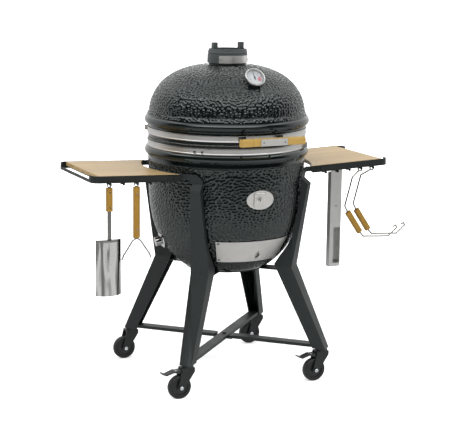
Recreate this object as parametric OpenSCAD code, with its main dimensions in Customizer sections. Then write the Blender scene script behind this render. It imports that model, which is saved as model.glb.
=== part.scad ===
// Kamado ceramic grill on a wheeled four-leg cart, with two folding bamboo
// side shelves and a set of hanging fire tools. Millimetres, +Z up, the
// ground plane at z = 0 under the egg, the front (draft door side) at -Y.

/* [Egg] */
// outer radius of the ceramic wall at its waist
egg_r = 264; // [256:1:266]
// thickness of the ceramic wall
wall = 26; // [20:1:30]
// height of the joint between base and lid
part_z = 826; // [822:1:830]
// height of the domed part of the lid
dome_h = 172; // [160:1:180]

/* [Lid fittings] */
// outer diameter of the cast-iron top vent
vent_d = 138; // [126:2:144]
// length of the bamboo lid handle
handle_l = 226; // [200:2:260]
// diameter of the thermometer bezel
thermo_d = 68; // [60:1:74]

/* [Cart] */
// distance of a leg foot from the middle, along the diagonal
foot_r = 373; // [368:1:378]
// height of the leg feet
foot_z = 112; // [110:1:114]
// sheet thickness of legs and shelf frames
sheet = 3; // [2.5:0.5:3]
// distance of a caster swivel from the middle in x and y
swivel = 250; // [247:1:252]
// diameter of a caster wheel
wheel_d = 80; // [76:1:82]

/* [Shelves] */
// how far a shelf frame reaches out from the middle
shelf_x = 546; // [530:1:560]
// half depth of a shelf frame, front to back
shelf_y = 168; // [168:1:170]
// upward tilt of the open shelves in degrees
shelf_tilt = 2.15; // [1:0.1:3]

/* [View] */
// which piece to draw

/* [Hidden] */
$fn = 96;

// ceramic profile: the base hangs below waist_z, the dome rises above dome_z
waist_z = 729;
base_h = 384.5;
floor_z = 380;
dome_z = 895;
rim_r = egg_r + 3.5;
band_r = rim_r + 0.1;
steps = 22;

// curve shared by base and dome: radius fraction at height fraction t
function bowl(t, p, q) = pow(1 - pow(t, p), 1 / q);
function base_t(z) = (waist_z - z) / base_h;
function base_rad(z) = egg_r * bowl(max(0, base_t(z)), 3.1, 2.04);
function ease(i) = sin(90 * i / steps);
function bead(cx, cz, r, a0, a1) =
  [for (i = [0:10]) let(a = a0 + (a1 - a0) * i / 10) [cx + r * cos(a), cz + r * sin(a)]];

// draft door cone: outside radius of the door track at height z
function door_rad(z) = egg_r * 0.914 - (503 - z) * 0.53;
door_lo = 428;
door_hi = 503;

// feeder port in the front wall
port_z = 645;

// side port, pointing out to the left
side_z = 472;
side_a = -98;

// lid hinge axis behind the egg
hinge_y = 308;
hinge_z = part_z;

// thermometer: centre of its face and the lean of its axis
thermo_y = -213;
thermo_z = 1043;
thermo_tilt = 42;

// top vent
vent_z = 1064;

// leg centre line along the diagonal
knee_r = 250;
knee_z = 391;
top_r = 298;
top_z = 678;
plate_r = 275;
plate_z = 697;
arm_lo = 711;
arm_hi = 728;

// shelf pivot
pivot_x = 280;
pivot_z = 719.5;
peg_0 = 298;
peg_step = 46.6;
peg_y = 156;

caster_trail = 29;
brace_w = 35;

// bolts that hold the support ring in each leg
arm_r = 225;
arm_z = 366;

// ---------- small helpers ----------

module rod(p, q, d) {
  v = q - p;
  l = norm(v);
  a = atan2(v[1], v[0]);
  b = acos(v[2] / l);
  translate(p) rotate([0, b, a]) cylinder(d = d, h = l, $fn = 32);
}

// bent round wire in the x-z plane through a list of [x, z] points
module wire(pts, d) {
  for (i = [0:len(pts) - 2])
    rod([pts[i][0], 0, pts[i][1]], [pts[i + 1][0], 0, pts[i + 1][1]], d);
  for (p = pts)
    translate([p[0], 0, p[1]]) sphere(d = d + 0.8, $fn = 32);
}

module rounded_square(w, h, r) {
  square([w - 2 * r, h], center = true);
  square([w, h - 2 * r], center = true);
  for (sx = [-1, 1])
    for (sy = [-1, 1])
      translate([sx * (w / 2 - r), sy * (h / 2 - r)]) circle(r = r, $fn = 32);
}

module ring(ro, ri, z0, z1) {
  translate([0, 0, z0]) difference() {
    cylinder(r = ro, h = z1 - z0);
    translate([0, 0, -1]) cylinder(r = ri, h = z1 - z0 + 2);
  }
}

// pie slice around the z axis from azimuth a0 to a1, azimuth 0 at -Y
module slice(a0, a1, r, z0, z1) {
  am = (a0 + a1) / 2;
  k = r / cos((a1 - a0) / 4);
  translate([0, 0, z0]) linear_extrude(z1 - z0) polygon([
    [0, 0],
    [r * sin(a0), -r * cos(a0)],
    [k * sin((a0 + am) / 2), -k * cos((a0 + am) / 2)],
    [r * sin(am), -r * cos(am)],
    [k * sin((a1 + am) / 2), -k * cos((a1 + am) / 2)],
    [r * sin(a1), -r * cos(a1)]
  ]);
}

// bolt lying along +Z with its head seat at the origin
module bolt(d, l) {
  translate([0, 0, -l]) cylinder(d = d, h = l + 0.5, $fn = 32);
  cylinder(d = d * 1.7, h = d * 0.5, $fn = 32);
}

// ---------- ceramic ----------

module base_solid() {
  top = [[0, part_z - 3], [rim_r, part_z - 3], [rim_r, 796]];
  neck = [[egg_r + 3, 757], [egg_r + 5, 751], [egg_r + 2, 745]];
  wallp = [for (i = [0:steps]) let(z = waist_z - ease(i) * (waist_z - floor_z)) [base_rad(z), z]];
  rotate_extrude() polygon(concat(top, bead(egg_r - 2, 779, 17, 75, -75), neck, wallp, [[0, floor_z]]));
}

module base_void() {
  h = base_h - 30;
  in_z = floor_z + 26;
  pts = [for (i = [0:steps])
    let(z = waist_z - ease(i) * (waist_z - in_z)) [(egg_r - wall) * bowl((waist_z - z) / h, 3.1, 2.04), z]];
  rotate_extrude() polygon(concat([[0, part_z], [egg_r - wall, part_z]], pts, [[0, in_z]]));
}

module draft_cut(a) {
  intersection() {
    ring(300, 60, door_lo + 12, door_hi - 14);
    slice(-a, a, 320, 300, 600);
  }
}

module port_cut(w, h) {
  translate([0, -240, port_z]) cube([w, 160, h], center = true);
}

// places children on the side port axis, +Z pointing outward
module at_side_port() {
  rotate([0, 0, side_a]) translate([0, -base_rad(side_z), side_z]) rotate([90 + 12, 0, 0]) children();
}

// places children at the four draft frame screws, +Z pointing outward
module at_draft_screws() {
  for (a = [-31, 31])
    for (z = [door_lo + 7, door_hi - 7])
      rotate([0, 0, a]) translate([0, -door_rad(z) - 2.2, z]) rotate([90 + 28, 0, 0]) children();
}

module base_shell() {
  color([0.16, 0.17, 0.18]) difference() {
    base_solid();
    base_void();
    draft_cut(22);
    port_cut(46, 42);
    at_draft_screws() translate([0, 0, -13]) cylinder(d = 4.1, h = 16, $fn = 24);
    at_draft_screws() translate([0, 0, -2.2]) cylinder(d = 8.6, h = 9, $fn = 24);
    // bore and flat seat of the side port
    at_side_port() translate([0, 0, -60]) cylinder(d = 26, h = 80);
    at_side_port() translate([0, 0, 2.9]) linear_extrude(30) rounded_square(56.8, 46.8, 8.2);
  }
}

module base_gasket() {
  color([0.75, 0.73, 0.68]) ring(egg_r - 1, egg_r - 23, part_z - 3, part_z);
}

module firebox() {
  h = base_h - 52;
  color([0.72, 0.66, 0.56]) difference() {
    rotate_extrude() polygon(concat(
      [[0, 612]],
      [for (i = [0:14]) let(z = 612 - 190 * i / 14) [(egg_r - wall - 6) * bowl((waist_z - z) / (base_h - 38), 3.1, 2.04), z]],
      [[0, 422]]
    ));
    rotate_extrude() polygon(concat(
      [[0, 613]],
      [for (i = [0:12]) let(z = 613 - 163 * i / 12) [(egg_r - wall - 28) * bowl((waist_z - z) / h, 3.1, 2.04), z]],
      [[0, 450]]
    ));
    translate([0, 0, 400]) cylinder(r = 90, h = 80);
    draft_cut(20);
    for (a = [60:60:300])
      rotate([0, 0, a]) translate([0, -150, 520]) rotate([90, 0, 0]) cylinder(d = 18, h = 120, $fn = 32);
  }
}

module fire_ring() {
  color([0.72, 0.66, 0.56]) difference() {
    ring(egg_r - wall - 6, egg_r - wall - 34, 612, 771.4);
    port_cut(50, 46);
  }
}

module charcoal_grate() {
  color([0.12, 0.12, 0.13]) translate([0, 0, 450]) difference() {
    cylinder(r = 128, h = 9);
    for (i = [-4:4])
      translate([i * 25, 0, 0]) cube([13, 2 * sqrt(pow(118, 2) - pow(abs(i * 25) + 7, 2)), 30], center = true);
  }
}

module cooking_grid() {
  r = egg_r - wall - 12;
  color([0.7, 0.7, 0.7]) {
    translate([0, 0, 775]) rotate_extrude() translate([r - 3, 0]) circle(d = 7, $fn = 24);
    for (i = [-10:10])
      rod([i * 20, -sqrt(pow(r - 3, 2) - pow(i * 20, 2)), 775], [i * 20, sqrt(pow(r - 3, 2) - pow(i * 20, 2)), 775], 5);
    for (s = [-1, 1])
      rod([-sqrt(pow(r - 3, 2) - 10000), s * 100, 775], [sqrt(pow(r - 3, 2) - 10000), s * 100, 775], 6);
  }
}

module dome_shell() {
  outer = [for (i = [0:steps]) let(t = 0.984 * ease(i)) [egg_r * bowl(t, 2.143, 2.723), dome_z + dome_h * t]];
  ri = egg_r - wall;
  inner = [for (i = [0:steps]) let(t = 0.97 * ease(i)) [ri * bowl(t, 2.143, 2.723), dome_z + (dome_h - wall) * t]];
  rev = [for (i = [steps:-1:0]) [max(58, inner[i][0]), inner[i][1]]];
  top_pt = [[58, vent_z]];
  color([0.16, 0.17, 0.18]) difference() {
    rotate_extrude() polygon(concat(
      [[ri, part_z], [rim_r, part_z], [rim_r, 864]],
      bead(egg_r, 882, 16, -75, 60),
      outer, top_pt, rev
    ));
    at_thermo() translate([0, 0, -120]) cylinder(d = 12.4, h = 118);
  }
}

// ---------- bands and hinge ----------

module band(z0, z1) {
  mid = (z0 + z1) / 2;
  rotate_extrude() polygon([
    [band_r, z0 + 2], [band_r + 2.6, z0], [band_r + 3.2, z0 + 2.5], [band_r + 2, z0 + 4],
    [band_r + 2, z1 - 4], [band_r + 3.2, z1 - 2.5], [band_r + 2.6, z1], [band_r, z1 - 2]
  ]);
}

// clamp ears and their bolt on a band, at azimuth a
module band_clamp(z, a) {
  rotate([0, 0, a]) translate([0, -band_r - 6, z]) {
    for (s = [-1, 1])
      translate([s * 6 - 1, -6, -8]) cube([2, 11, 16]);
    rotate([0, 90, 0]) translate([0, 3, -14]) cylinder(d = 5, h = 28, $fn = 24);
  }
}

module base_band() {
  color([0.72, 0.72, 0.71]) {
    difference() {
      band(795, 816);
      rotate([0, 0, 50]) translate([-6, -300, 780]) cube([12, 60, 50]);
    }
    band_clamp(805.5, 50);
    for (s = [-1, 1])
      rotate([0, 0, -45 + s * 2.8]) translate([0, -band_r - 1.5, 803]) rotate([90, 0, 0]) cylinder(d = 7, h = 3.5, $fn = 24);
  }
}

module lid_band() {
  color([0.72, 0.72, 0.71]) {
    difference() {
      band(837, 858);
      rotate([0, 0, -118]) translate([-6, -300, 820]) cube([12, 60, 60]);
    }
    band_clamp(847.5, -118);
  }
}

module hinge_ear(y0, z0, z1, hole) {
  rotate([90, 0, 90]) linear_extrude(4) difference() {
    union() {
      polygon([[y0, z0], [y0, z1], [hinge_y, hinge_z + 9], [hinge_y, hinge_z - 9]]);
      translate([hinge_y, hinge_z]) circle(r = 9, $fn = 32);
    }
    translate([hinge_y, hinge_z]) circle(d = hole, $fn = 32);
  }
}

module hinge_base() {
  color([0.13, 0.13, 0.14]) {
    for (s = [-1, 1])
      translate([s * 60 - 2, 0, 0]) hinge_ear(266, 795, 815, 10);
    intersection() {
      ring(band_r + 6.5, band_r + 3.4, 796, 815);
      slice(165, 195, 330, 780, 830);
    }
  }
}

module hinge_lid() {
  color([0.13, 0.13, 0.14]) {
    for (s = [-1, 1])
      translate([s * 52 - 2, 0, 0]) hinge_ear(267, 838, 857, 10.1);
    intersection() {
      ring(band_r + 6.5, band_r + 3.4, 838, 857);
      slice(167, 193, 330, 830, 870);
    }
  }
}

module hinge_pin() {
  color([0.6, 0.6, 0.6]) translate([-68, hinge_y, hinge_z]) rotate([0, 90, 0]) {
    cylinder(d = 10, h = 136, $fn = 32);
    for (z = [-3, 136])
      translate([0, 0, z]) cylinder(d = 15, h = 3, $fn = 32);
  }
}

// ---------- handle ----------

handle_x = 68;

module handle_brackets() {
  color([0.1, 0.1, 0.11]) for (s = [-1, 1])
    translate([s * handle_x, 0, 847.5]) {
      translate([0, -334, 0]) rotate([-90, 0, 0]) cylinder(d = 9, h = 69.4, $fn = 32);
      translate([0, -325, 0]) rotate([-90, 0, 0]) cylinder(d = 18, h = 6, $fn = 32);
      intersection() {
        translate([-s * handle_x, 0, -9]) difference() {
          cylinder(r = band_r + 6.4, h = 18);
          translate([0, 0, -1]) cylinder(r = band_r + 3.3, h = 20);
        }
        translate([-12, -300, -9]) cube([24, 100, 18]);
      }
    }
}

module handle_bar() {
  color([0.85, 0.66, 0.36]) difference() {
    translate([0, -346, 847.5]) rotate([90, 0, 90]) linear_extrude(handle_l, center = true) rounded_square(23, 25, 7);
    for (s = [-1, 1])
      translate([s * handle_x, -334.5, 847.5]) rotate([-90, 0, 0]) cylinder(d = 9.2, h = 30, $fn = 32);
    translate([-48, -358, 836]) cube([96, 1.5, 23]);
  }
}

module handle_plate() {
  color([0.72, 0.72, 0.71]) {
    translate([-47.5, -358.6, 836.5]) cube([95, 2.1, 22]);
    for (s = [-1, 1])
      translate([s * 38, -358, 847.5]) rotate([90, 0, 0]) cylinder(d = 6, h = 2, $fn = 24);
  }
}

// ---------- thermometer ----------

// thermometer axis: +Z points out of its face, origin at the face centre
module at_thermo() {
  translate([0, thermo_y, thermo_z]) rotate([90 - thermo_tilt, 0, 0]) children();
}

module thermo_case() {
  color([0.75, 0.75, 0.75]) at_thermo() {
    difference() {
      translate([0, 0, -14]) cylinder(d = thermo_d, h = 14);
      translate([0, 0, -8]) cylinder(d = thermo_d - 8, h = 20);
    }
    translate([0, 0, -21]) cylinder(d = 26, h = 8);
    translate([0, 0, -110]) cylinder(d = 8, h = 92, $fn = 32);
    translate([0, 0, -74]) cylinder(d = 24, h = 6, $fn = 6);
  }
}

module thermo_dial() {
  color([0.95, 0.95, 0.93]) at_thermo() translate([0, 0, -7.9]) difference() {
    cylinder(d = thermo_d - 8.4, h = 1);
    translate([0, 0, -1]) cylinder(d = 2.9, h = 4, $fn = 24);
  }
}

module thermo_needle() {
  color([0.7, 0.1, 0.08]) at_thermo() translate([0, 0, -6]) {
    linear_extrude(0.8) polygon([[-1.6, -8], [1.6, -8], [0.6, thermo_d / 2 - 9], [-0.6, thermo_d / 2 - 9]]);
    cylinder(d = 7, h = 1.6, $fn = 32);
    translate([0, 0, -1.9]) cylinder(d = 2.8, h = 2.5, $fn = 24);
  }
}

module thermo_lens() {
  color([0.85, 0.9, 0.92, 0.4]) at_thermo() translate([0, 0, -2.4]) cylinder(d = thermo_d - 8.4, h = 1.6);
}

// ---------- top vent ----------

vent_r = vent_d / 2;

module vent_base() {
  color([0.2, 0.2, 0.21]) difference() {
    rotate_extrude() polygon([
      [56, vent_z - 8], [57.6, vent_z - 8], [57.6, vent_z + 0.2], [62, vent_z + 0.2], [62, vent_z + 7],
      [vent_r, vent_z + 9], [vent_r - 1, vent_z + 37], [vent_r - 3.5, vent_z + 37.5], [vent_r - 3.5, vent_z + 40],
      [51, vent_z + 40], [51, vent_z + 4]
    ]);
  }
  color([0.2, 0.2, 0.21]) translate([0, 0, vent_z + 34]) difference() {
    cylinder(r = 52, h = 6);
    for (a = [0:90:270])
      rotate([0, 0, a]) translate([0, 28, -1]) {
        cylinder(d = 26, h = 9);
      }
    translate([0, 0, -1]) cylinder(d = 8.1, h = 9, $fn = 32);
  }
}

module vent_cap() {
  color([0.17, 0.17, 0.18]) translate([0, 0, vent_z + 40]) {
    difference() {
      rotate_extrude() polygon([
        [0, 0], [vent_r - 3.5, 0], [vent_r - 2, 2], [vent_r - 2, 6], [vent_r - 4, 8],
        [vent_r - 4, 14.6], [vent_r - 12, 14.6], [vent_r - 12, 5], [0, 5]
      ]);
      for (a = [45:90:315])
        rotate([0, 0, a]) translate([0, 28, -1]) cylinder(d = 24, h = 9);
    }
    for (s = [-1, 1])
      translate([s * 48.5 - 8, -9, 4]) cube([16, 18, 32.4]);
    translate([0, 0, -8]) cylinder(d = 8, h = 9, $fn = 32);
  }
}

// plain steel plate wrapped around the front of the vent
module vent_plate() {
  color([0.78, 0.78, 0.77]) {
    intersection() {
      rotate_extrude() polygon([
        [vent_r + 0.5, vent_z + 10], [vent_r + 2, vent_z + 10],
        [vent_r + 1.2, vent_z + 35], [vent_r - 0.3, vent_z + 35]
      ]);
      slice(-49, 49, 90, 1000, 1160);
    }
    for (a = [-43, 43])
      rotate([0, 0, a]) translate([0, -vent_r - 0.9, vent_z + 22]) rotate([90, 0, 0]) cylinder(d = 5, h = 1.9, $fn = 24);
  }
}

// ---------- draft door ----------

// conical strip over the wall, r0..r1 outside the door cone
module door_strip(o0, o1, z0, z1, a0, a1) {
  intersection() {
    rotate_extrude() polygon([
      [door_rad(z0) + o0, z0], [door_rad(z0) + o1, z0], [door_rad(z1) + o1, z1], [door_rad(z1) + o0, z1]
    ]);
    slice(a0, a1, 320, 400, 540);
  }
}

module draft_frame() {
  color([0.72, 0.72, 0.71]) difference() {
    union() {
      door_strip(0.5, 2.2, door_lo, door_hi, -33, 33);
      for (z = [door_lo, door_hi - 5])
        door_strip(2, 5.6, z, z + 5, -29, 29);
      for (z = [door_lo, door_hi - 9])
        door_strip(4.4, 5.6, z, z + 9, -29, 29);
    }
    draft_cut(19);
    at_draft_screws() translate([0, 0, -2.2]) cylinder(d = 8.6, h = 9, $fn = 24);
  }
}

module draft_screws() {
  color([0.6, 0.6, 0.6]) at_draft_screws() {
    translate([0, 0, -12]) cylinder(d = 4, h = 11, $fn = 24);
    translate([0, 0, -2]) cylinder(d = 8.4, h = 1.9, $fn = 24);
  }
}

module draft_door() {
  color([0.78, 0.78, 0.77]) difference() {
    union() {
      door_strip(2.5, 4.1, door_lo + 5.6, door_hi - 5.6, -28.5, 28);
      door_strip(2.5, 5.4, door_lo + 16, door_hi - 16, -28.5, -27.3);
    }
    rotate([0, 0, 4]) translate([0, -200, 458]) rotate([90 + 28, 0, 0])
      linear_extrude(80, center = true) polygon([[-10, 0], [0, -19], [10, 0], [0, 19]]);
  }
}

// ---------- ports ----------

// oval plate hugging the wall, with a square tunnel through it
module port_plate() {
  color([0.72, 0.72, 0.71]) difference() {
    union() {
      intersection() {
        ring(egg_r + 3, egg_r + 0.4, port_z - 40, port_z + 40);
        translate([0, -200, port_z]) rotate([90, 0, 0]) linear_extrude(100)
          polygon([for (i = [0:47]) [49 * cos(i * 7.5), 31.5 * sin(i * 7.5)]]);
      }
      translate([-22.5, -egg_r - 1, port_z - 20.5]) cube([45, 23, 41]);
    }
    translate([-21, -300, port_z - 19]) cube([42, 80, 38]);
  }
}

module port_door() {
  color([0.66, 0.66, 0.65]) translate([0, -egg_r - 3.7, port_z]) rotate([90, 0, 0]) {
    translate([0, 0, 0.2]) linear_extrude(1.8) square([48, 44], center = true);
    translate([0, 0, 1.8]) cylinder(d = 7, h = 8, $fn = 32);
    translate([0, 0, 8]) cylinder(d = 15, h = 7, $fn = 48);
    translate([0, 22.4, 2.2]) rotate([0, 90, 0]) cylinder(d = 3.6, h = 44, center = true, $fn = 24);
  }
}

module side_port() {
  color([0.7, 0.7, 0.7]) at_side_port() difference() {
    union() {
      translate([0, 0, 3]) linear_extrude(2.4) rounded_square(56, 46, 8);
      translate([0, 0, -34]) cylinder(d = 25.6, h = 54);
    }
    translate([0, 0, -40]) cylinder(d = 21, h = 80);
  }
}

module side_cap() {
  color([0.78, 0.78, 0.78]) at_side_port() difference() {
    translate([0, 0, 9]) cylinder(d = 33, h = 18);
    translate([0, 0, 8]) cylinder(d = 25.7, h = 14);
  }
}

// ---------- cart ----------

// rings of the leg in the radius-height plane, web_in trims the sheet
function leg_out(d) = [
  [foot_r - d, foot_z], [knee_r - d, knee_z], [top_r - d, top_z],
  [plate_r - d, plate_z]
];
function clear_r(z) = base_rad(z) + (z < 520 ? 12 : 7);
leg_in = concat(
  [[plate_r - 3, plate_z]],
  [for (i = [0:8]) let(z = 678 - i * 30) [max(clear_r(z), z > 640 ? 269.5 : 0), z]],
  [[clear_r(430), 430], [knee_r - 62, 398], [foot_r - 46, foot_z]]
);

// channel seen from outside: half widths at foot, knee and top
module leg_front_shape(d) {
  polygon([
    [-21 + d, foot_z - 1], [21 - d, foot_z - 1], [32 - d, knee_z], [17.5 - d, top_z], [17.5 - d, plate_z + 1],
    [-17.5 + d, plate_z + 1], [-17.5 + d, top_z], [-32 + d, knee_z]
  ]);
}

module leg_side_shape(d) {
  polygon(concat(leg_out(d), leg_in));
}

// channel leg in local axes: x outward along the diagonal
module leg_channel() {
  difference() {
    leg_sheet();
    translate([arm_r, 0, arm_z]) rotate([90, 0, 0]) cylinder(d = 6.1, h = 80, center = true, $fn = 32);
  }
  // foot plate that carries the caster
  difference() {
    translate([foot_r - 46, -20, foot_z]) cube([42, 40, sheet]);
    translate([swivel * sqrt(2), 0, foot_z - 1]) cylinder(d = 10.1, h = sheet + 2, $fn = 32);
  }
}

module leg_sheet() {
  difference() {
    intersection() {
      rotate([90, 0, 0]) linear_extrude(90, center = true) leg_side_shape(0);
      rotate([90, 0, 90]) linear_extrude(500) leg_front_shape(0);
    }
    intersection() {
      rotate([90, 0, 0]) linear_extrude(90, center = true) polygon(concat(leg_out(sheet), [[150, plate_z], [150, foot_z - 2], [foot_r - 3, foot_z - 2]]));
      rotate([90, 0, 90]) linear_extrude(500) leg_front_shape(sheet);
    }
  }
}

module leg_plate() {
  translate([plate_r - sheet, 0, 0]) rotate([90, 0, 90]) linear_extrude(sheet) polygon([
    [-43.6, arm_lo], [-32, arm_lo], [-17.5, plate_z - 0.5], [17.5, plate_z - 0.5],
    [17.5, 708], [11, 717], [-5, arm_hi], [-43.6, arm_hi]
  ]);
}

// front-left leg, the other three are mirror images
module leg() {
  ay = shelf_y - sheet - 0.5;
  bx = 2 * 0.70711 * (plate_r - sheet) - ay + sheet;
  color([0.2, 0.21, 0.22]) {
    rotate([0, 0, -135]) {
      leg_channel();
      leg_plate();
    }
    translate([-bx, -ay + sheet, arm_lo]) cylinder(r = sheet, h = arm_hi - arm_lo, $fn = 32);
    difference() {
      union() {
        translate([-pivot_x, -ay, arm_lo]) cube([pivot_x - bx, sheet, arm_hi - arm_lo]);
        translate([-pivot_x, -ay, pivot_z]) rotate([-90, 0, 0]) cylinder(d = arm_hi - arm_lo, h = sheet);
      }
      translate([-pivot_x, -ay - 1, pivot_z]) rotate([-90, 0, 0]) cylinder(d = 6.1, h = sheet + 2, $fn = 32);
    }
  }
}

module leg_front_left() { leg(); }
module leg_front_right() { mirror([1, 0, 0]) leg(); }
module leg_rear_left() { mirror([0, 1, 0]) leg(); }
module leg_rear_right() { mirror([1, 0, 0]) mirror([0, 1, 0]) leg(); }

// ring under the egg with four flat arms, each clipped between the leg flanges
module support_ring() {
  color([0.18, 0.18, 0.19]) {
    ring(138, 96, floor_z - 4, floor_z);
    for (a = [45:90:315])
      rotate([0, 0, a]) difference() {
        union() {
          translate([118, -27, floor_z - 4]) cube([132, 54, 4]);
          for (s = [-1, 1])
            translate([210, s * 25.75 - 1.25, floor_z - 26]) cube([40, 2.5, 24]);
        }
        translate([arm_r, 0, arm_z]) rotate([90, 0, 0]) cylinder(d = 6.1, h = 80, center = true, $fn = 32);
      }
  }
}

// channel brace lying flat between opposite feet
module brace() {
  l = 2 * (foot_r - 13);
  z = foot_z + sheet;
  difference() {
    translate([-l / 2, -brace_w / 2, z]) cube([l, brace_w, 11]);
    translate([-l / 2 - 1, -brace_w / 2 + 2.5, z - 2.5]) cube([l + 2, brace_w - 5, 11]);
  }
}

// the lower brace steps down in the middle to let the upper one pass
module brace_lower() {
  z = foot_z + sheet;
  color([0.2, 0.21, 0.22]) rotate([0, 0, -45]) difference() {
    union() {
      difference() {
        brace();
        translate([-32, -50, z - 1]) cube([64, 100, 20]);
      }
      for (s = [-1, 1])
        translate([s * 32 - 1.5, -brace_w / 2, z - 3]) cube([3, brace_w, 14]);
      translate([-33, -brace_w / 2, z - 3]) cube([66, brace_w, 2.5]);
    }
    translate([0, 0, z - 10]) cylinder(d = 8.4, h = 30, $fn = 32);
  }
}

module brace_upper() {
  color([0.2, 0.21, 0.22]) rotate([0, 0, 45]) difference() {
    brace();
    translate([0, 0, foot_z]) cylinder(d = 8.4, h = 30, $fn = 32);
  }
}

module cart_bolts() {
  ay = shelf_y;
  color([0.1, 0.1, 0.1]) {
    for (sx = [-1, 1])
      for (sy = [-1, 1])
        translate([sx * pivot_x, sy * ay, pivot_z]) rotate([-sy * 90, 0, 0]) bolt(6, 7);
    translate([0, 0, foot_z + sheet + 11]) {
      bolt(8, 20);
      translate([0, 0, -20]) cylinder(d = 15, h = 5.8, $fn = 6);
    }
    for (a = [45:90:315])
      for (s = [-1, 1])
        rotate([0, 0, a]) translate([arm_r, s * 24.5, arm_z]) rotate([s * 90, 0, 0]) bolt(6, 6.4);
  }
}

// ---------- casters ----------

module at_caster(sx, sy) {
  translate([sx * swivel, sy * swivel, 0]) children();
}

module fork() {
  w = 17;
  color([0.08, 0.08, 0.09]) {
    translate([0, 0, foot_z - 8]) cylinder(d = 40, h = 7.8);
    translate([0, 0, foot_z - 9]) cylinder(d = 10, h = 20, $fn = 32);
    for (s = [-1, 1])
      translate([0, s * w, 0]) rotate([90, 0, 0]) linear_extrude(3, center = true) {
        polygon([[-39, 44], [-24, 104], [19, 104], [19, 92], [-19, 34]]);
        translate([-caster_trail, wheel_d / 2]) circle(r = 11.6, $fn = 32);
      }
    translate([-24, -18.5, 100.5]) cube([43, 37, 4]);
    translate([-18, 0, 93]) rotate([90, 0, 0]) cylinder(d = 5, h = 38, center = true, $fn = 32);
  }
  color([0.75, 0.75, 0.75]) translate([-caster_trail, 0, wheel_d / 2]) rotate([90, 0, 0]) {
    cylinder(d = 8, h = 42, center = true, $fn = 32);
    for (s = [-1, 1])
      translate([0, 0, s * 20]) cylinder(d = 12, h = 4, center = true, $fn = 32);
  }
}

module wheel() {
  r = wheel_d / 2;
  color([0.07, 0.07, 0.08]) translate([-caster_trail, 0, r]) rotate([90, 0, 0]) rotate_extrude() polygon([
    [4.05, -14], [10, -14], [11, -9], [24, -9], [25, -11.5], [r - 5, -12], [r - 1.5, -9], [r, -4],
    [r, 4], [r - 1.5, 9], [r - 5, 12], [25, 11.5], [24, 9], [11, 9], [10, 14], [4.05, 14]
  ]);
}

module pedal() {
  color([0.09, 0.09, 0.1]) rotate([90, 0, 0]) linear_extrude(26, center = true) difference() {
    polygon([[-12, 88], [-12, 98], [-52, 98], [-78, 89], [-92, 94], [-94, 91], [-79, 84.5], [-52, 92], [-30, 87]]);
    translate([-18, 93]) circle(d = 5.1, $fn = 32);
  }
}

module fork_front_left() { at_caster(-1, -1) fork(); }
module fork_front_right() { at_caster(1, -1) fork(); }
module fork_rear_left() { at_caster(-1, 1) fork(); }
module fork_rear_right() { at_caster(1, 1) fork(); }
module wheel_front_left() { at_caster(-1, -1) wheel(); }
module wheel_front_right() { at_caster(1, -1) wheel(); }
module wheel_rear_left() { at_caster(-1, 1) wheel(); }
module wheel_rear_right() { at_caster(1, 1) wheel(); }
module pedal_left() { at_caster(-1, -1) pedal(); }
module pedal_right() { at_caster(1, -1) pedal(); }

// ---------- shelves, drawn for the right side and tilted about the pivot ----------

module tilted() {
  translate([pivot_x, 0, pivot_z]) rotate([0, -shelf_tilt, 0]) translate([-pivot_x, 0, -pivot_z]) children();
}

rail_h = 23;
rail_z = pivot_z - 12.5;
bend_r = 26;

// flat plan of the frame band, d inside its outer face
module frame_plan(d) {
  translate([200, -shelf_y + d]) square([shelf_x - 200 - bend_r, 2 * (shelf_y - d)]);
  translate([200, -shelf_y + bend_r]) square([shelf_x - 200 - d, 2 * (shelf_y - bend_r)]);
  for (s = [-1, 1])
    translate([shelf_x - bend_r, s * (shelf_y - bend_r)]) circle(r = bend_r - d, $fn = 64);
}

module peg(x, s) {
  translate([x, s * (peg_y - 9), rail_z - 4]) {
    translate([-5, -1.25, -3]) cube([10, 2.5, 13.5]);
    rotate([-s * 90, 0, 0]) cylinder(d = 5, h = 17, $fn = 24);
    translate([0, s * 17.5, 0]) sphere(d = 9, $fn = 32);
  }
}

module shelf_frame() {
  color([0.14, 0.15, 0.15]) tilted() {
    difference() {
      translate([0, 0, rail_z]) linear_extrude(rail_h) difference() {
        frame_plan(0);
        frame_plan(sheet);
      }
      translate([0, -300, 0]) cube([237, 600, 1000]);
      // lower inner corner of each rail end is cut back
      translate([237, 0, rail_z]) rotate([0, 45, 0]) cube([12, 600, 12], center = true);
      // towel bar: the upper part of the outer end is cut away
      translate([shelf_x - 16, -shelf_y + 34, rail_z + 10]) cube([40, 2 * shelf_y - 68, 40]);
      for (s = [-1, 1])
        translate([pivot_x, s * shelf_y, pivot_z]) rotate([90, 0, 0]) cylinder(d = 6.1, h = 20, center = true, $fn = 32);
    }
    // cross straps under the board
    for (x = [pivot_x + 40, shelf_x - 50])
      translate([x, -shelf_y + sheet - 0.5, rail_z + 6.5]) cube([24, 2 * (shelf_y - sheet) + 1, 3]);
    for (i = [0:4])
      for (s = [-1, 1])
        peg(peg_0 + i * peg_step, s);
    // peg strips joining the pegs to the straps
    for (s = [-1, 1])
      translate([peg_0 - 8, s * (peg_y - 12) - 6, rail_z + 6.5]) cube([peg_step * 4 + 16, 12, 3]);
    for (s = [-1, 1])
      translate([pivot_x - 16, s * (shelf_y - 0.5), pivot_z]) rotate([-s * 90, 0, 0]) cylinder(d = 8, h = 3, $fn = 24);
  }
}

module shelf_board() {
  yy = shelf_y - sheet - 5;
  color([0.86, 0.7, 0.45]) tilted() translate([0, 0, rail_z + 9.6]) difference() {
    translate([238, -yy, 0]) cube([shelf_x - 24 - 238, 2 * yy, 13.4]);
    translate([0, 0, -1]) cylinder(r = 291, h = 20);
  }
}

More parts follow.
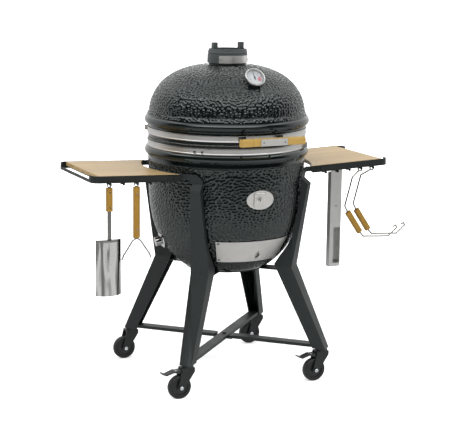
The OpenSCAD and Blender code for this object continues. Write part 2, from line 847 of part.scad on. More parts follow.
module shelf_frame_right() { shelf_frame(); }
module shelf_frame_left() { mirror([1, 0, 0]) shelf_frame(); }
module shelf_board_right() { shelf_board(); }
module shelf_board_left() { mirror([1, 0, 0]) shelf_board(); }

// ---------- hanging tools ----------

// height of peg i with the shelf open
function peg_x(i) = pivot_x + (peg_0 + i * peg_step - pivot_x) * cos(shelf_tilt) + (pivot_z - rail_z + 4) * sin(shelf_tilt);
function peg_z(i) = pivot_z + (peg_0 + i * peg_step - pivot_x) * sin(shelf_tilt) - (pivot_z - rail_z + 4) * cos(shelf_tilt);

// tool frame: origin at the peg, +Z up
module at_peg(side, i) {
  translate([side * peg_x(i), -peg_y, peg_z(i)]) children();
}

// hanging eye with a hole a little larger than the peg
module eye(drop) {
  translate([0, 2, 0]) rotate([90, 0, 0]) linear_extrude(4) difference() {
    union() {
      translate([0, -2.6]) circle(d = 17, $fn = 32);
      translate([-5, -drop]) square([10, drop - 6]);
    }
    translate([0, -2.6]) circle(d = 11, $fn = 32);
  }
}

module grip(w, t, z0, z1) {
  translate([0, 0, z0]) linear_extrude(z1 - z0) rounded_square(w, t, 4);
}

module rivets(zs) {
  for (z = zs)
    translate([0, 0, z]) rotate([90, 0, 0]) cylinder(d = 5, h = 17, center = true, $fn = 24);
}

module scoop_blade() {
  color([0.75, 0.75, 0.75]) at_peg(-1, 4) {
    eye(14);
    translate([-6.5, -1.5, -186]) cube([13, 3, 174]);
    rivets([-26, -76]);
    translate([0, 0, -366]) linear_extrude(184) difference() {
      translate([0, 46]) circle(r = 55);
      translate([0, 46]) circle(r = 53.4);
      translate([-100, 12]) square([200, 200]);
    }
    translate([0, 0, -190]) linear_extrude(8) intersection() {
      translate([0, 46]) circle(r = 54);
      translate([-41, -12]) square([82, 20]);
    }
  }
}

module scoop_grip() {
  color([0.8, 0.58, 0.28]) at_peg(-1, 4) difference() {
    grip(21, 15, -88, -12.5);
    translate([-6.6, -1.6, -200]) cube([13.2, 3.2, 200]);
    translate([-5.1, -2.1, -20]) cube([10.2, 4.2, 20]);
    for (z = [-26, -76])
      translate([0, 0, z]) rotate([90, 0, 0]) cylinder(d = 5.1, h = 30, center = true, $fn = 24);
  }
}

module rake_prongs() {
  color([0.7, 0.7, 0.7]) at_peg(-1, 2) {
    eye(14);
    translate([-5, -1.5, -184]) cube([10, 3, 172]);
    rivets([-34, -150]);
    for (s = [-1, 1])
      wire([[s * 2, -180], [s * 14, -188], [s * 30, -212], [s * 44, -232], [s * 50, -246]], 5);
  }
}

module rake_grip() {
  color([0.82, 0.62, 0.32]) at_peg(-1, 2) difference() {
    grip(21, 15, -178, -11);
    translate([-5.1, -2.1, -200]) cube([10.2, 4.2, 200]);
    for (s = [-1, 1])
      rod([s * 2, 0, -180], [s * 14, 0, -188], 5.4);
    for (z = [-34, -150])
      translate([0, 0, z]) rotate([90, 0, 0]) cylinder(d = 5.1, h = 30, center = true, $fn = 24);
  }
}

module chute() {
  color([0.7, 0.7, 0.7]) at_peg(1, 1) translate([0, 0, -336]) difference() {
    translate([-21.5, -1, 0]) cube([43, 22, 342]);
    translate([-20, 0.5, -1]) cube([40, 19, 350]);
    translate([-30, 0.5, 331]) cube([60, 30, 20]);
    translate([0, 5, 336]) rotate([90, 0, 0]) cylinder(d = 10.5, h = 20, $fn = 32);
    translate([-4, -5, 212]) cube([8, 5.5, 3]);
    translate([-8, -5, 12]) cube([26, 5.5, 126]);
  }
}

// wire of a lifter: across, depth, height from its peg; the hook curls up at the end
function lifter_pts(d) = [
  [-6, 0, -9], [-36, d, -28], [-63, d, -126], [-53, d, -146], [1, d, -225], [14, d, -239],
  [116, d, -246], [150, d, -219], [146, d, -210], [137, d, -213]
];

module lifter(d) {
  pts = lifter_pts(d);
  color([0.6, 0.58, 0.52]) {
    for (i = [0:len(pts) - 2])
      rod(pts[i], pts[i + 1], 5.6);
    for (p = pts)
      translate(p) sphere(d = 6.4, $fn = 32);
    translate([0, 2.5, 0]) rotate([90, 0, 0]) linear_extrude(5) difference() {
      translate([0, -2.6]) circle(d = 18, $fn = 32);
      translate([0, -2.6]) circle(d = 11, $fn = 32);
    }
  }
}

module lifter_grip(d) {
  p = lifter_pts(d)[3];
  q = lifter_pts(d)[4];
  a = atan2(q[0] - p[0], q[2] - p[2]);
  color([0.8, 0.6, 0.3]) translate(p) rotate([0, a, 0]) translate([0, 0, 4]) difference() {
    linear_extrude(norm(q - p) - 8) rounded_square(20, 16, 5);
    translate([0, 0, -1]) cylinder(d = 6, h = 120, $fn = 32);
  }
}

lift_a = -10.5;
lift_b = 12;
module lifter_a() { at_peg(1, 3) lifter(lift_a); }
module lifter_a_grip() { at_peg(1, 3) lifter_grip(lift_a); }
module lifter_b() { at_peg(1, 4) lifter(lift_b); }
module lifter_b_grip() { at_peg(1, 4) lifter_grip(lift_b); }

base_shell();
base_gasket();
base_band();
hinge_base();
hinge_pin();
firebox();
fire_ring();
charcoal_grate();
cooking_grid();
draft_frame();
draft_screws();
port_plate();
side_port();
leg_front_left();
leg_front_right();
leg_rear_left();
leg_rear_right();
support_ring();
cart_bolts();
brace_lower();
brace_upper();
draft_door();
port_door();
side_cap();
dome_shell();
lid_band();
hinge_lid();
handle_brackets();
handle_bar();
handle_plate();
thermo_case();
thermo_dial();
thermo_needle();
thermo_lens();
vent_base();
vent_cap();
vent_plate();
fork_front_left();
fork_front_right();
fork_rear_left();
fork_rear_right();
wheel_front_left();
wheel_front_right();
wheel_rear_left();
wheel_rear_right();
pedal_left();
pedal_right();
shelf_frame_left();
shelf_frame_right();
shelf_board_left();
shelf_board_right();
scoop_blade();
scoop_grip();
rake_prongs();
rake_grip();
chute();
lifter_a();
lifter_a_grip();
lifter_b();
lifter_b_grip();
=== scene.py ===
import math
import bpy
import numpy as np
from mathutils import Matrix, Vector


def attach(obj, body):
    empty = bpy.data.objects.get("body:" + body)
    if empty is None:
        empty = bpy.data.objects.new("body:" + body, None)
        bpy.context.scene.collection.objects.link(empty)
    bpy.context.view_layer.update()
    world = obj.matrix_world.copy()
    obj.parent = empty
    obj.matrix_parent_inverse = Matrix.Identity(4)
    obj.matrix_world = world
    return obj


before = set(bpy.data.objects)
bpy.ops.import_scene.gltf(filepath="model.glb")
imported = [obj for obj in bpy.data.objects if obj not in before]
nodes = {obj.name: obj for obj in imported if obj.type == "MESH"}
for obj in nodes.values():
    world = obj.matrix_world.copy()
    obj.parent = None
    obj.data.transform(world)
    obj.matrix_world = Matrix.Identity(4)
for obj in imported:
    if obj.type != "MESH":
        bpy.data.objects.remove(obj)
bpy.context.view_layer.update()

MM = 0.001
TAU = 2 * math.pi

# ---------------------------------------------------------------- camera

CAM_AZ, CAM_DIST, CAM_H = math.radians(-25.30), 4.7776, 1.4785
CAM_PITCH, CAM_ROLL = math.radians(10.99), math.radians(0.68)
LENS, SENSOR, SHIFT_X = 112.98, 36, -0.0015


def make_camera():
    """The camera stands at azimuth CAM_AZ round the grill and looks slightly down."""
    s, c = math.sin(CAM_AZ), math.cos(CAM_AZ)
    forward = Vector((-s * math.cos(CAM_PITCH), c * math.cos(CAM_PITCH), -math.sin(CAM_PITCH)))
    right = Vector((c, s, 0))
    up = right.cross(forward)
    right_r = right * math.cos(CAM_ROLL) + up * math.sin(CAM_ROLL)
    up_r = up * math.cos(CAM_ROLL) - right * math.sin(CAM_ROLL)
    data = bpy.data.cameras.new("camera")
    data.lens, data.sensor_width = LENS, SENSOR
    data.shift_x = SHIFT_X
    data.clip_end = 200
    cam = bpy.data.objects.new("camera", data)
    m = Matrix((right_r, up_r, -forward)).transposed().to_4x4()
    m.translation = Vector((CAM_DIST * s, -CAM_DIST * c, CAM_H))
    cam.matrix_world = m
    bpy.context.scene.collection.objects.link(cam)
    bpy.context.scene.camera = cam


make_camera()


# ---------------------------------------------------------------- material kit

BAND_RADIUS = 0.27
FINE_LINES = 1500
KNUCKLE_GAP = 0.24
SHELF_RISE = 0.03754


class Mat:
    """A Principled material whose colour, roughness and bump come from procedural nodes in object space."""

    def __init__(self, name, metal=0.0, **sockets):
        self.mat = bpy.data.materials.new(name)
        self.mat.use_nodes = True
        self.tree = self.mat.node_tree
        self.bsdf = self.tree.nodes["Principled BSDF"]
        self.bsdf.inputs["Metallic"].default_value = metal
        for key, value in sockets.items():
            self.bsdf.inputs[key.replace("_", " ")].default_value = value
        self.coord = self.add("ShaderNodeTexCoord").outputs["Object"]
        self.normal = None

    def add(self, kind, inputs=(), **props):
        node = self.tree.nodes.new(kind)
        for key, value in props.items():
            setattr(node, key, value)
        for key, value in dict(inputs).items():
            self.put(node.inputs[key], value)
        return node

    def put(self, socket, value):
        if isinstance(value, bpy.types.NodeSocket):
            self.tree.links.new(value, socket)
        else:
            socket.default_value = value

    def math(self, op, a, b=0.0, c=0.0, clamp=False):
        return self.add("ShaderNodeMath", {0: a, 1: b, 2: c}, operation=op, use_clamp=clamp).outputs[0]

    def split(self, vector):
        out = self.add("ShaderNodeSeparateXYZ", {0: vector}).outputs
        return out[0], out[1], out[2]

    def join(self, x, y, z):
        return self.add("ShaderNodeCombineXYZ", {0: x, 1: y, 2: z}).outputs[0]

    def times(self, a, b):
        return self.math("MULTIPLY", a, b)

    def distance(self, dx, dz):
        return self.math("SQRT", self.math("ADD", self.times(dx, dx), self.times(dz, dz)))

    def scaled(self, scale):
        """Object coordinates stretched along each axis."""
        return self.add("ShaderNodeVectorMath", {0: self.coord, 1: scale}, operation="MULTIPLY").outputs[0]

    def normals(self):
        return self.split(self.add("ShaderNodeTexCoord").outputs["Normal"])

    def noise(self, scale, detail=2.0, rough=0.5, vector=None, distort=0.0):
        values = {"Vector": vector or self.coord, "Scale": scale, "Detail": detail}
        values.update({"Roughness": rough, "Distortion": distort})
        return self.add("ShaderNodeTexNoise", values).outputs["Fac"]

    def span(self, value, lo, hi, to_lo=0.0, to_hi=1.0):
        """Maps value from lo..hi to to_lo..to_hi, clamped."""
        return self.add("ShaderNodeMapRange", {0: value, 1: lo, 2: hi, 3: to_lo, 4: to_hi}).outputs[0]

    def ramp(self, value, *stops):
        node = self.add("ShaderNodeValToRGB", {0: value})
        while len(node.color_ramp.elements) < len(stops):
            node.color_ramp.elements.new(0.5)
        for element, (place, colour) in zip(node.color_ramp.elements, stops):
            element.position, element.color = place, (*colour, 1)
        return node.outputs[0]

    def mix(self, share, a, b):
        node = self.add("ShaderNodeMix", data_type="RGBA")
        for socket, value in ((node.inputs[0], share), (node.inputs[6], a), (node.inputs[7], b)):
            self.put(socket, value if isinstance(value, (bpy.types.NodeSocket, float)) else (*value, 1))
        return node.outputs[2]

    def colour(self, value):
        self.put(self.bsdf.inputs["Base Color"], value)

    def rough(self, value):
        self.put(self.bsdf.inputs["Roughness"], value)

    def bump(self, height, strength, distance):
        """Fine relief; a second call adds its relief to the first."""
        values = {"Height": height, "Strength": strength, "Distance": distance}
        if self.normal is not None:
            values["Normal"] = self.normal
        self.normal = self.add("ShaderNodeBump", values).outputs[0]
        self.put(self.bsdf.inputs["Normal"], self.normal)

    def around(self):
        """Angle round the egg as a length, and the height, for surfaces brushed round the egg."""
        x, y, z = self.split(self.coord)
        return self.times(self.math("ARCTAN2", y, x), BAND_RADIUS), z


def tint(c, k):
    """Colour c made k times as bright."""
    return tuple(min(1.0, v * k) for v in c)


def glaze():
    """Near-black glossy glaze; faces that look towards the egg's axis are bare, sooty ceramic."""
    m = Mat("glaze", Specular_IOR_Level=0.55, Specular_Tint=(0.90, 1.0, 0.97, 1))
    x, y, _ = m.split(m.coord)
    nx, ny, _ = m.normals()
    outward = m.math("ADD", m.times(x, nx), m.times(y, ny))
    inside = m.span(outward, -0.02, -0.05)
    base = (0.0030, 0.0044, 0.0043)
    shade = m.mix(m.noise(26, 4, 0.6), tint(base, 0.78), tint(base, 1.22))
    shade = m.mix(m.span(m.noise(210, 3, 0.7), 0.45, 0.75), shade, tint(base, 0.6))
    bare = m.ramp(m.noise(40, 5, 0.65), (0.3, (0.10, 0.085, 0.07)), (0.7, (0.26, 0.22, 0.17)))
    m.colour(m.mix(inside, shade, bare))
    gloss = m.span(m.noise(60, 4, 0.6), 0.3, 0.7, 0.015, 0.045)
    gloss = m.math("ADD", gloss, m.times(m.noise(900, 2), 0.01))
    m.rough(m.math("ADD", gloss, m.times(inside, 0.65)))
    m.bump(m.noise(420, 3, 0.55), 0.03, 0.0003)
    return m.mat


def flat_heads(m, shade, base, head_x, head_z, radius):
    """Draws two flush screw heads, each with a dark rim and a cross of painted recess shade, into a plate's
    colour.
    """
    x, _, z = m.split(m.coord)
    dx = m.math("SUBTRACT", m.math("ABSOLUTE", x), head_x)
    dz = m.math("SUBTRACT", z, head_z)
    off = m.distance(dx, dz)
    rising = m.math("ABSOLUTE", m.math("ADD", dx, dz))
    falling = m.math("ABSOLUTE", m.math("SUBTRACT", dx, dz))
    bar = m.math("MINIMUM", rising, falling)
    rim = m.times(m.span(off, radius, radius * 0.9), m.span(off, radius * 0.72, radius * 0.82))
    # painted shade: the cross recess is drawn dark
    cross = m.times(m.span(bar, 0.0008, 0.0006), m.span(off, radius * 0.7, radius * 0.6))
    shade = m.mix(m.times(m.span(off, radius, radius * 0.95), 0.35), shade, tint(base, 0.35))
    return m.mix(m.math("MAXIMUM", rim, cross), shade, tint(base, 0.12))


def brushed(name, base, lo=0.24, hi=0.40, around=True, line=900, heads=None):
    """Brushed steel: lines run round the egg, or along z; heads adds screws drawn at (+-x, z, radius)."""
    m = Mat(name, metal=1.0)
    if around:
        u, z = m.around()
        vec = m.join(m.times(u, 6.0), m.times(z, line), 0.0)
    else:
        vec = m.scaled((line, line, 8.0))
    lines = m.noise(1.0, 5, 0.7, vector=vec)
    cloud = m.noise(30, 4, 0.6)
    shade = m.mix(lines, tint(base, 0.80), tint(base, 1.18))
    shade = m.mix(m.span(cloud, 0.35, 0.8, 0.0, 0.35), shade, tint(base, 0.72))
    if heads:
        shade = flat_heads(m, shade, base, *heads)
    m.colour(shade)
    m.rough(m.math("ADD", m.span(lines, 0.2, 0.8, lo, hi), m.times(cloud, 0.06)))
    m.bump(lines, 0.10, 0.0003)
    return m.mat


def polished(name, base, rough):
    """Polished metal with faint smears and hairline scratches."""
    m = Mat(name, metal=1.0)
    smear = m.noise(45, 5, 0.65)
    scratch = m.noise(1.0, 3, 0.6, vector=m.scaled((FINE_LINES, FINE_LINES, 60)))
    m.colour(m.mix(m.span(smear, 0.3, 0.75), base, tint(base, 0.84)))
    smeared = m.span(smear, 0.3, 0.7, rough * 0.6, rough * 1.5)
    m.rough(m.math("ADD", smeared, m.times(m.span(scratch, 0.6, 0.8), 0.10)))
    m.bump(scratch, 0.03, 0.0002)
    return m.mat


def painted_reflection_bands(name, dark, light, shaft_z, rough=0.14):
    """Bright rolled sheet whose colour carries long soft bands of painted reflection; darker above shaft_z.
    """
    m = Mat(name, metal=1.0)
    flow = m.noise(1.0, 1.5, 0.4, vector=m.scaled((46, 46, 5.0)), distort=1.3)
    fine = m.noise(1.0, 3, 0.6, vector=m.scaled((FINE_LINES, FINE_LINES, 40)))
    # painted reflection: flow lays soft light and dark bands into the colour
    shade = m.mix(m.span(flow, 0.42, 0.58), dark, light)
    shade = m.mix(m.span(m.split(m.coord)[2], shaft_z, shaft_z + 0.004), shade, tint(dark, 1.25))
    m.colour(m.mix(m.span(fine, 0.4, 0.9, 0.0, 0.4), shade, tint(light, 0.7)))
    m.rough(m.span(fine, 0.3, 0.8, rough * 0.7, rough * 1.6))
    m.bump(fine, 0.04, 0.0002)
    return m.mat


def powder(name, base, rough=0.42):
    """Powder coat: fine grain, and a painted highlight making sharp edges a little lighter."""
    m = Mat(name, Specular_IOR_Level=0.28)
    fine = m.noise(1300, 2, 0.6)
    cloud = m.noise(14, 4, 0.6)
    # painted highlight: sharp edges, found by pointiness, are made lighter
    painted_edge_highlight = m.span(m.add("ShaderNodeNewGeometry").outputs["Pointiness"], 0.53, 0.62)
    shade = m.mix(cloud, tint(base, 0.86), tint(base, 1.14))
    m.colour(m.mix(m.times(painted_edge_highlight, 0.45), shade, tint(base, 2.4)))
    m.rough(m.math("ADD", m.span(cloud, 0.3, 0.7, rough - 0.05, rough + 0.05), m.times(fine, 0.08)))
    m.bump(fine, 0.16, 0.0004)
    return m.mat


def cast(name, base):
    """Rough cast iron, with painted light making faces that look up greyer."""
    m = Mat(name, Specular_IOR_Level=0.5)
    grit = m.noise(650, 3, 0.65)
    lumps = m.noise(120, 3, 0.5)
    shade = m.mix(m.noise(22, 5, 0.6), tint(base, 0.75), tint(base, 1.3))
    # painted light: faces that look up are made greyer, as if lit from above
    painted_top_light = m.span(m.normals()[2], 0.8, 0.98, 0.0, 0.8)
    shade = m.mix(painted_top_light, shade, tint(base, 3.0))
    m.colour(m.mix(m.span(grit, 0.55, 0.8), shade, tint(base, 1.8)))
    m.rough(m.span(lumps, 0.3, 0.7, 0.46, 0.62))
    m.bump(lumps, 0.22, 0.0008)
    m.bump(grit, 0.30, 0.0005)
    return m.mat


def from_middle(m, value, period):
    """Distance of value from the middle of its period, as a share of the period (0 to 0.5)."""
    part = m.math("FRACT", m.math("DIVIDE", value, period))
    return m.math("ABSOLUTE", m.math("SUBTRACT", part, 0.5))


def bamboo(name, base, along, strip, rough, plies=None):
    """Glued bamboo strips along x or z, with fibres, streaks, knuckles and seams; plies adds edge layers."""
    m = Mat(name, Specular_IOR_Level=0.25)
    x, y, z = m.split(m.coord)
    run, across, other = {"x": (x, y, z), "z": (z, x, y)}[along]
    lane = m.math("FLOOR", m.math("DIVIDE", across, strip))
    pick = m.add("ShaderNodeTexWhiteNoise", {"W": lane}, noise_dimensions="1D").outputs["Value"]
    shifted = m.math("ADD", run, m.times(pick, 3.7))
    grain = m.join(m.times(shifted, 9.0), m.times(across, 900), m.times(other, 500))
    band = m.join(m.times(shifted, 4.0), m.times(across, 140), m.times(other, 90))
    fibre = m.noise(1.0, 4, 0.65, vector=grain)
    streak = m.noise(1.0, 3, 0.6, vector=band)
    knuckle = m.span(from_middle(m, m.math("ADD", run, pick), KNUCKLE_GAP), 0.010, 0.002)
    seam = m.span(from_middle(m, across, strip), 0.482, 0.497)

    def darker(r, g, b):
        return base[0] * r, base[1] * g, base[2] * b

    shade = m.mix(m.span(pick, 0.0, 1.0), tint(base, 0.88), tint(base, 1.08))
    shade = m.mix(m.span(streak, 0.35, 0.7, 0.0, 0.5), shade, darker(0.82, 0.74, 0.6))
    shade = m.mix(m.span(fibre, 0.52, 0.75, 0.0, 0.42), shade, darker(0.6, 0.5, 0.36))
    shade = m.mix(m.times(knuckle, 0.5), shade, darker(0.5, 0.38, 0.25))
    shade = m.mix(m.times(seam, 0.45), shade, darker(0.5, 0.4, 0.28))
    if plies:
        lowest, thick = plies
        level = m.math("SUBTRACT", z, m.times(m.math("ABSOLUTE", x), SHELF_RISE))
        ply = from_middle(m, m.math("SUBTRACT", level, lowest), thick)
        side = m.math("SUBTRACT", 1.0, m.math("ABSOLUTE", m.normals()[2]), clamp=True)
        line = m.times(m.times(m.span(ply, 0.40, 0.48), side), 0.75)
        shade = m.mix(line, shade, darker(0.38, 0.26, 0.14))
    m.colour(shade)
    m.rough(m.span(fibre, 0.2, 0.8, rough - 0.08, rough + 0.10))
    m.bump(fibre, 0.10, 0.0003)
    m.bump(m.math("SUBTRACT", 1.0, seam), 0.25, 0.0003)
    return m.mat


def plastic(name, base, rough):
    """Moulded or painted surface with a slight grain and wiped patches."""
    m = Mat(name, Specular_IOR_Level=0.45)
    grit = m.noise(700, 2, 0.5)
    wipe = m.noise(35, 5, 0.65)
    m.colour(m.mix(m.span(wipe, 0.3, 0.75), tint(base, 0.8), tint(base, 1.35)))
    m.rough(m.span(wipe, 0.3, 0.7, rough - 0.07, rough + 0.08))
    m.bump(grit, 0.12, 0.0003)
    return m.mat


def wheel_material():
    """Soft tyre outside the hub ring, harder plastic inside it, by distance from each caster's axle."""
    m = Mat("caster_wheel", Specular_IOR_Level=0.4)
    x, _, z = m.split(m.coord)
    stem = m.times(m.math("SIGN", x), SWIVEL * MM)
    dx = m.math("ADD", m.math("SUBTRACT", x, stem), AXLE_BACK * MM)
    dz = m.math("SUBTRACT", z, AXLE_Z * MM)
    radius = m.distance(dx, dz)
    tyre = m.span(radius, 0.0250, 0.0256)
    scuff = m.times(m.span(radius, 0.037, 0.040), m.span(m.noise(160, 4, 0.7), 0.4, 0.7))
    shade = m.mix(tyre, (0.0055, 0.0060, 0.0060), (0.0062, 0.0065, 0.0065))
    shade = m.mix(m.span(m.noise(60, 4, 0.6), 0.4, 0.8, 0.0, 0.4), shade, (0.018, 0.0185, 0.0185))
    m.colour(m.mix(m.times(scuff, 0.5), shade, (0.075, 0.072, 0.068)))
    m.rough(m.math("ADD", m.span(tyre, 0.0, 1.0, 0.38, 0.56), m.times(scuff, 0.2)))
    m.bump(m.noise(800, 2), 0.10, 0.0003)
    return m.mat


def dial():
    """Plain pale face of the thermometer; dial_print adds the scale."""
    m = Mat("dial_face", Specular_IOR_Level=0.4)
    speck = m.noise(500, 3)
    m.colour(m.mix(speck, (0.47, 0.49, 0.50), (0.53, 0.54, 0.545)))
    m.rough(m.span(speck, 0.3, 0.7, 0.38, 0.5))
    m.bump(speck, 0.03, 0.0001)
    return m.mat


def lens():
    """Clear cover glass with a trace of haze."""
    m = Mat("dial_lens", Specular_IOR_Level=0.5, Transmission_Weight=1.0, IOR=1.45)
    haze = m.noise(120, 4, 0.6)
    m.colour(m.mix(haze, (0.94, 0.96, 0.97), (1.0, 1.0, 1.0)))
    m.rough(m.span(haze, 0.4, 0.8, 0.02, 0.08))
    return m.mat


def firestone():
    """Unglazed fire ceramic, sootier towards the bottom."""
    m = Mat("fire_ceramic", Specular_IOR_Level=0.3)
    grit = m.noise(260, 4, 0.7)
    deep = m.span(m.split(m.coord)[2], 0.78, 0.50, 0.35, 0.9)
    soot = m.times(m.span(m.noise(9, 4, 0.6), 0.35, 0.65), deep)
    shade = m.mix(grit, (0.40, 0.34, 0.26), (0.60, 0.52, 0.41))
    m.colour(m.mix(soot, shade, (0.045, 0.040, 0.036)))
    m.rough(m.span(grit, 0.3, 0.7, 0.8, 0.95))
    m.bump(grit, 0.5, 0.0012)
    return m.mat


def felt():
    """Pressed felt of the gasket."""
    m = Mat("gasket_felt", Specular_IOR_Level=0.2, Sheen_Weight=0.4)
    fibre = m.noise(1.0, 5, 0.75, vector=m.scaled((900, 900, 2200)))
    m.colour(m.mix(fibre, (0.30, 0.28, 0.25), (0.55, 0.52, 0.47)))
    m.rough(m.span(fibre, 0.3, 0.7, 0.85, 1.0))
    m.bump(fibre, 0.6, 0.0008)
    return m.mat


# places in mm, in the part's frame
SWIVEL, AXLE_BACK, AXLE_Z = 250, 29, 40
PLATE_HEAD_X, PLATE_HEAD_Z, PLATE_HEAD_R = 38, 847.5, 2.9
EGG_R, WAIST_Z, BASE_H, DOME_Z, DOME_H = 264.0, 729.0, 384.5, 895.0, 172.0

STEEL = (0.54, 0.535, 0.52)
PLATE_STEEL = (0.76, 0.75, 0.725)
PLATE_HEADS = (PLATE_HEAD_X * MM, PLATE_HEAD_Z * MM, PLATE_HEAD_R * MM)
BOARD_LOW, PLY = 0.7059, 0.0045
MATS = {
    "glaze": glaze(),
    "band": brushed("band_steel", STEEL),
    "plate": brushed("plate_steel", PLATE_STEEL, 0.30, 0.46, line=1400),
    "handle_plate": brushed("handle_plate_steel", PLATE_STEEL, 0.30, 0.46, line=1400, heads=PLATE_HEADS),
    "tool": brushed("tool_steel", (0.55, 0.55, 0.54), 0.26, 0.40, around=False, line=FINE_LINES),
    # painted reflection: the scoop's colour carries light and dark bands
    "scoop": painted_reflection_bands("scoop_steel", (0.10, 0.10, 0.097), (0.40, 0.40, 0.396), shaft_z=0.520),
    "dark_screw": polished("dark_screw", (0.13, 0.13, 0.13), 0.2),
    # painted shade: darker steel for the shade in the draft door's diamond opening
    "lozenge": brushed("lozenge_shade_steel", (0.34, 0.335, 0.325), 0.40, 0.55, line=1400),
    "wire": polished("wire_steel", (0.34, 0.335, 0.32), 0.22),
    "screw": polished("screw_steel", (0.40, 0.40, 0.395), 0.20),
    "chrome": polished("chrome_steel", (0.46, 0.46, 0.455), 0.09),
    "zinc": polished("zinc_bolt", (0.66, 0.70, 0.72), 0.30),
    "leg": powder("leg_powder", (0.0062, 0.0082, 0.0079)),
    "shelf": powder("shelf_powder", (0.0048, 0.0062, 0.0058)),
    "black": powder("black_paint", (0.014, 0.015, 0.015), 0.34),
    "iron": cast("cast_iron", (0.034, 0.039, 0.040)),
    "grate": cast("grate_iron", (0.035, 0.035, 0.035)),
    "board": bamboo("bamboo_board", (0.345, 0.245, 0.118), "x", 0.024, 0.36, plies=(BOARD_LOW, PLY)),
    "handle": bamboo("bamboo_handle", (0.315, 0.205, 0.053), "x", 0.0125, 0.40),
    "grip": bamboo("bamboo_grip", (0.225, 0.124, 0.014), "z", 0.0105, 0.44),
    "wheel": wheel_material(),
    "fork": powder("fork_paint", (0.010, 0.011, 0.011), 0.34),
    "pedal": plastic("pedal_plastic", (0.010, 0.0105, 0.0105), 0.40),
    "dial": dial(),
    "lens": lens(),
    # dark material for the dial's print and needle, also used as painted shade in screw recesses
    "dark_marks": plastic("dial_ink_and_recess_shade", (0.03, 0.03, 0.035), 0.5),
    "hot": plastic("dial_red", (0.62, 0.10, 0.13), 0.5),
    "fire": firestone(),
    "felt": felt(),
}

CORNERS = ["front_left", "front_right", "rear_left", "rear_right"]
LEGS = ["leg_" + corner for corner in CORNERS]
NODE_MATS = {
    "glaze": ["base_shell", "dome_shell"],
    "felt": ["base_gasket"],
    "band": ["base_band", "lid_band"],
    "plate": ["draft_frame", "draft_door", "port_plate", "port_door", "vent_plate"],
    "handle_plate": ["handle_plate"],
    "black": ["hinge_base", "hinge_lid", "handle_brackets"],
    "screw": ["hinge_pin", "draft_screws", "cooking_grid"],
    "fire": ["firebox", "fire_ring"],
    "iron": ["vent_base", "vent_cap"],
    "grate": ["charcoal_grate"],
    "chrome": ["side_port", "side_cap", "thermo_case"],
    "scoop": ["scoop_blade"],
    "leg": [*LEGS, "support_ring", "brace_lower", "brace_upper"],
    "shelf": ["shelf_frame_left", "shelf_frame_right", "cart_bolts"],
    "board": ["shelf_board_left", "shelf_board_right"],
    "handle": ["handle_bar"],
    "grip": ["scoop_grip", "rake_grip", "lifter_a_grip", "lifter_b_grip"],
    "dial": ["thermo_dial"],
    "dark_marks": ["thermo_needle"],
    "lens": ["thermo_lens"],
    "fork": ["fork_" + corner for corner in CORNERS],
    "wheel": ["wheel_" + corner for corner in CORNERS],
    "pedal": ["pedal_left", "pedal_right"],
    "tool": ["chute"],
    "wire": ["rake_prongs", "lifter_a", "lifter_b"],
}
for key, names in NODE_MATS.items():
    for name in names:
        for material_slot in nodes[name].material_slots:
            material_slot.material = MATS[key]
        if not nodes[name].material_slots:
            nodes[name].data.materials.append(MATS[key])


# ---------------------------------------------------------------- mesh kit

BLOCK = [[3, 2, 1, 0], [4, 5, 6, 7], [0, 1, 5, 4], [1, 2, 6, 5], [2, 3, 7, 6], [3, 0, 4, 7]]
SHARP = math.radians(38)


def millimetres(points):
    """Points given in millimetres, in metres."""
    return [tuple(v * MM for v in point) for point in points]


def new_piece(name, verts, faces, material, body, smooth=True):
    """A mesh object that rides on body."""
    mesh = bpy.data.meshes.new(name)
    mesh.from_pydata([tuple(v) for v in verts], [], faces)
    mesh.materials.append(MATS[material])
    mesh.polygons.foreach_set("use_smooth", [smooth] * len(mesh.polygons))
    mesh.validate()
    obj = bpy.data.objects.new(name, mesh)
    bpy.context.scene.collection.objects.link(obj)
    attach(obj, body)
    return obj


class Build:
    """Collects closed shapes into one mesh; put takes metres, the shapes take millimetres."""

    def __init__(self):
        self.v, self.f = [], []

    def put(self, verts, faces, matrix):
        first = len(self.v)
        self.v += [matrix @ Vector(vert) for vert in verts]
        self.f += [[first + i for i in face] for face in faces]

    def ring_points(self, profile, seg):
        turns = [TAU * i / seg for i in range(seg)]
        return [(r * math.cos(a) * MM, r * math.sin(a) * MM, z * MM) for a in turns for r, z in profile]

    def lathe(self, profile, matrix, seg):
        """Turns (radius, height) points about +Z and caps the first and the last ring."""
        n = len(profile)
        faces = []
        for i in range(seg):
            j = (i + 1) % seg
            for k in range(n - 1):
                faces.append([i * n + k, j * n + k, j * n + k + 1, i * n + k + 1])
        faces.append([i * n for i in range(seg)][::-1])
        faces.append([i * n + n - 1 for i in range(seg)])
        self.put(self.ring_points(profile, seg), faces, matrix)

    def tube(self, loop, matrix, seg):
        """Turns a closed loop of (radius, height) points about +Z."""
        n = len(loop)
        faces = []
        for i in range(seg):
            j = (i + 1) % seg
            for k in range(n):
                after = (k + 1) % n
                faces.append([i * n + after, j * n + after, j * n + k, i * n + k])
        self.put(self.ring_points(loop, seg), faces, matrix)

    def box(self, lo, hi, matrix):
        (x0, y0, z0), (x1, y1, z1) = lo, hi
        corners = [(x, y, z) for x in (x0, x1) for y in (y0, y1) for z in (z0, z1)]
        faces = [[0, 1, 3, 2], [4, 6, 7, 5], [0, 4, 5, 1], [2, 3, 7, 6], [0, 2, 6, 4], [1, 5, 7, 3]]
        self.put(millimetres(corners), faces, matrix)

    def piece(self, name, material, body, slot, smooth=True):
        obj = new_piece(name, self.v, self.f, material, body, smooth)
        obj.data.set_sharp_from_angle(angle=SHARP)


def facing(origin, direction, spin=0.0):
    """Frame with +Z along direction, at origin (mm), turned by spin (radians) about it."""
    rot = Vector(direction).to_track_quat("Z", "Y").to_matrix().to_4x4()
    return Matrix.Translation(Vector(origin) * MM) @ rot @ Matrix.Rotation(spin, 4, "Z")


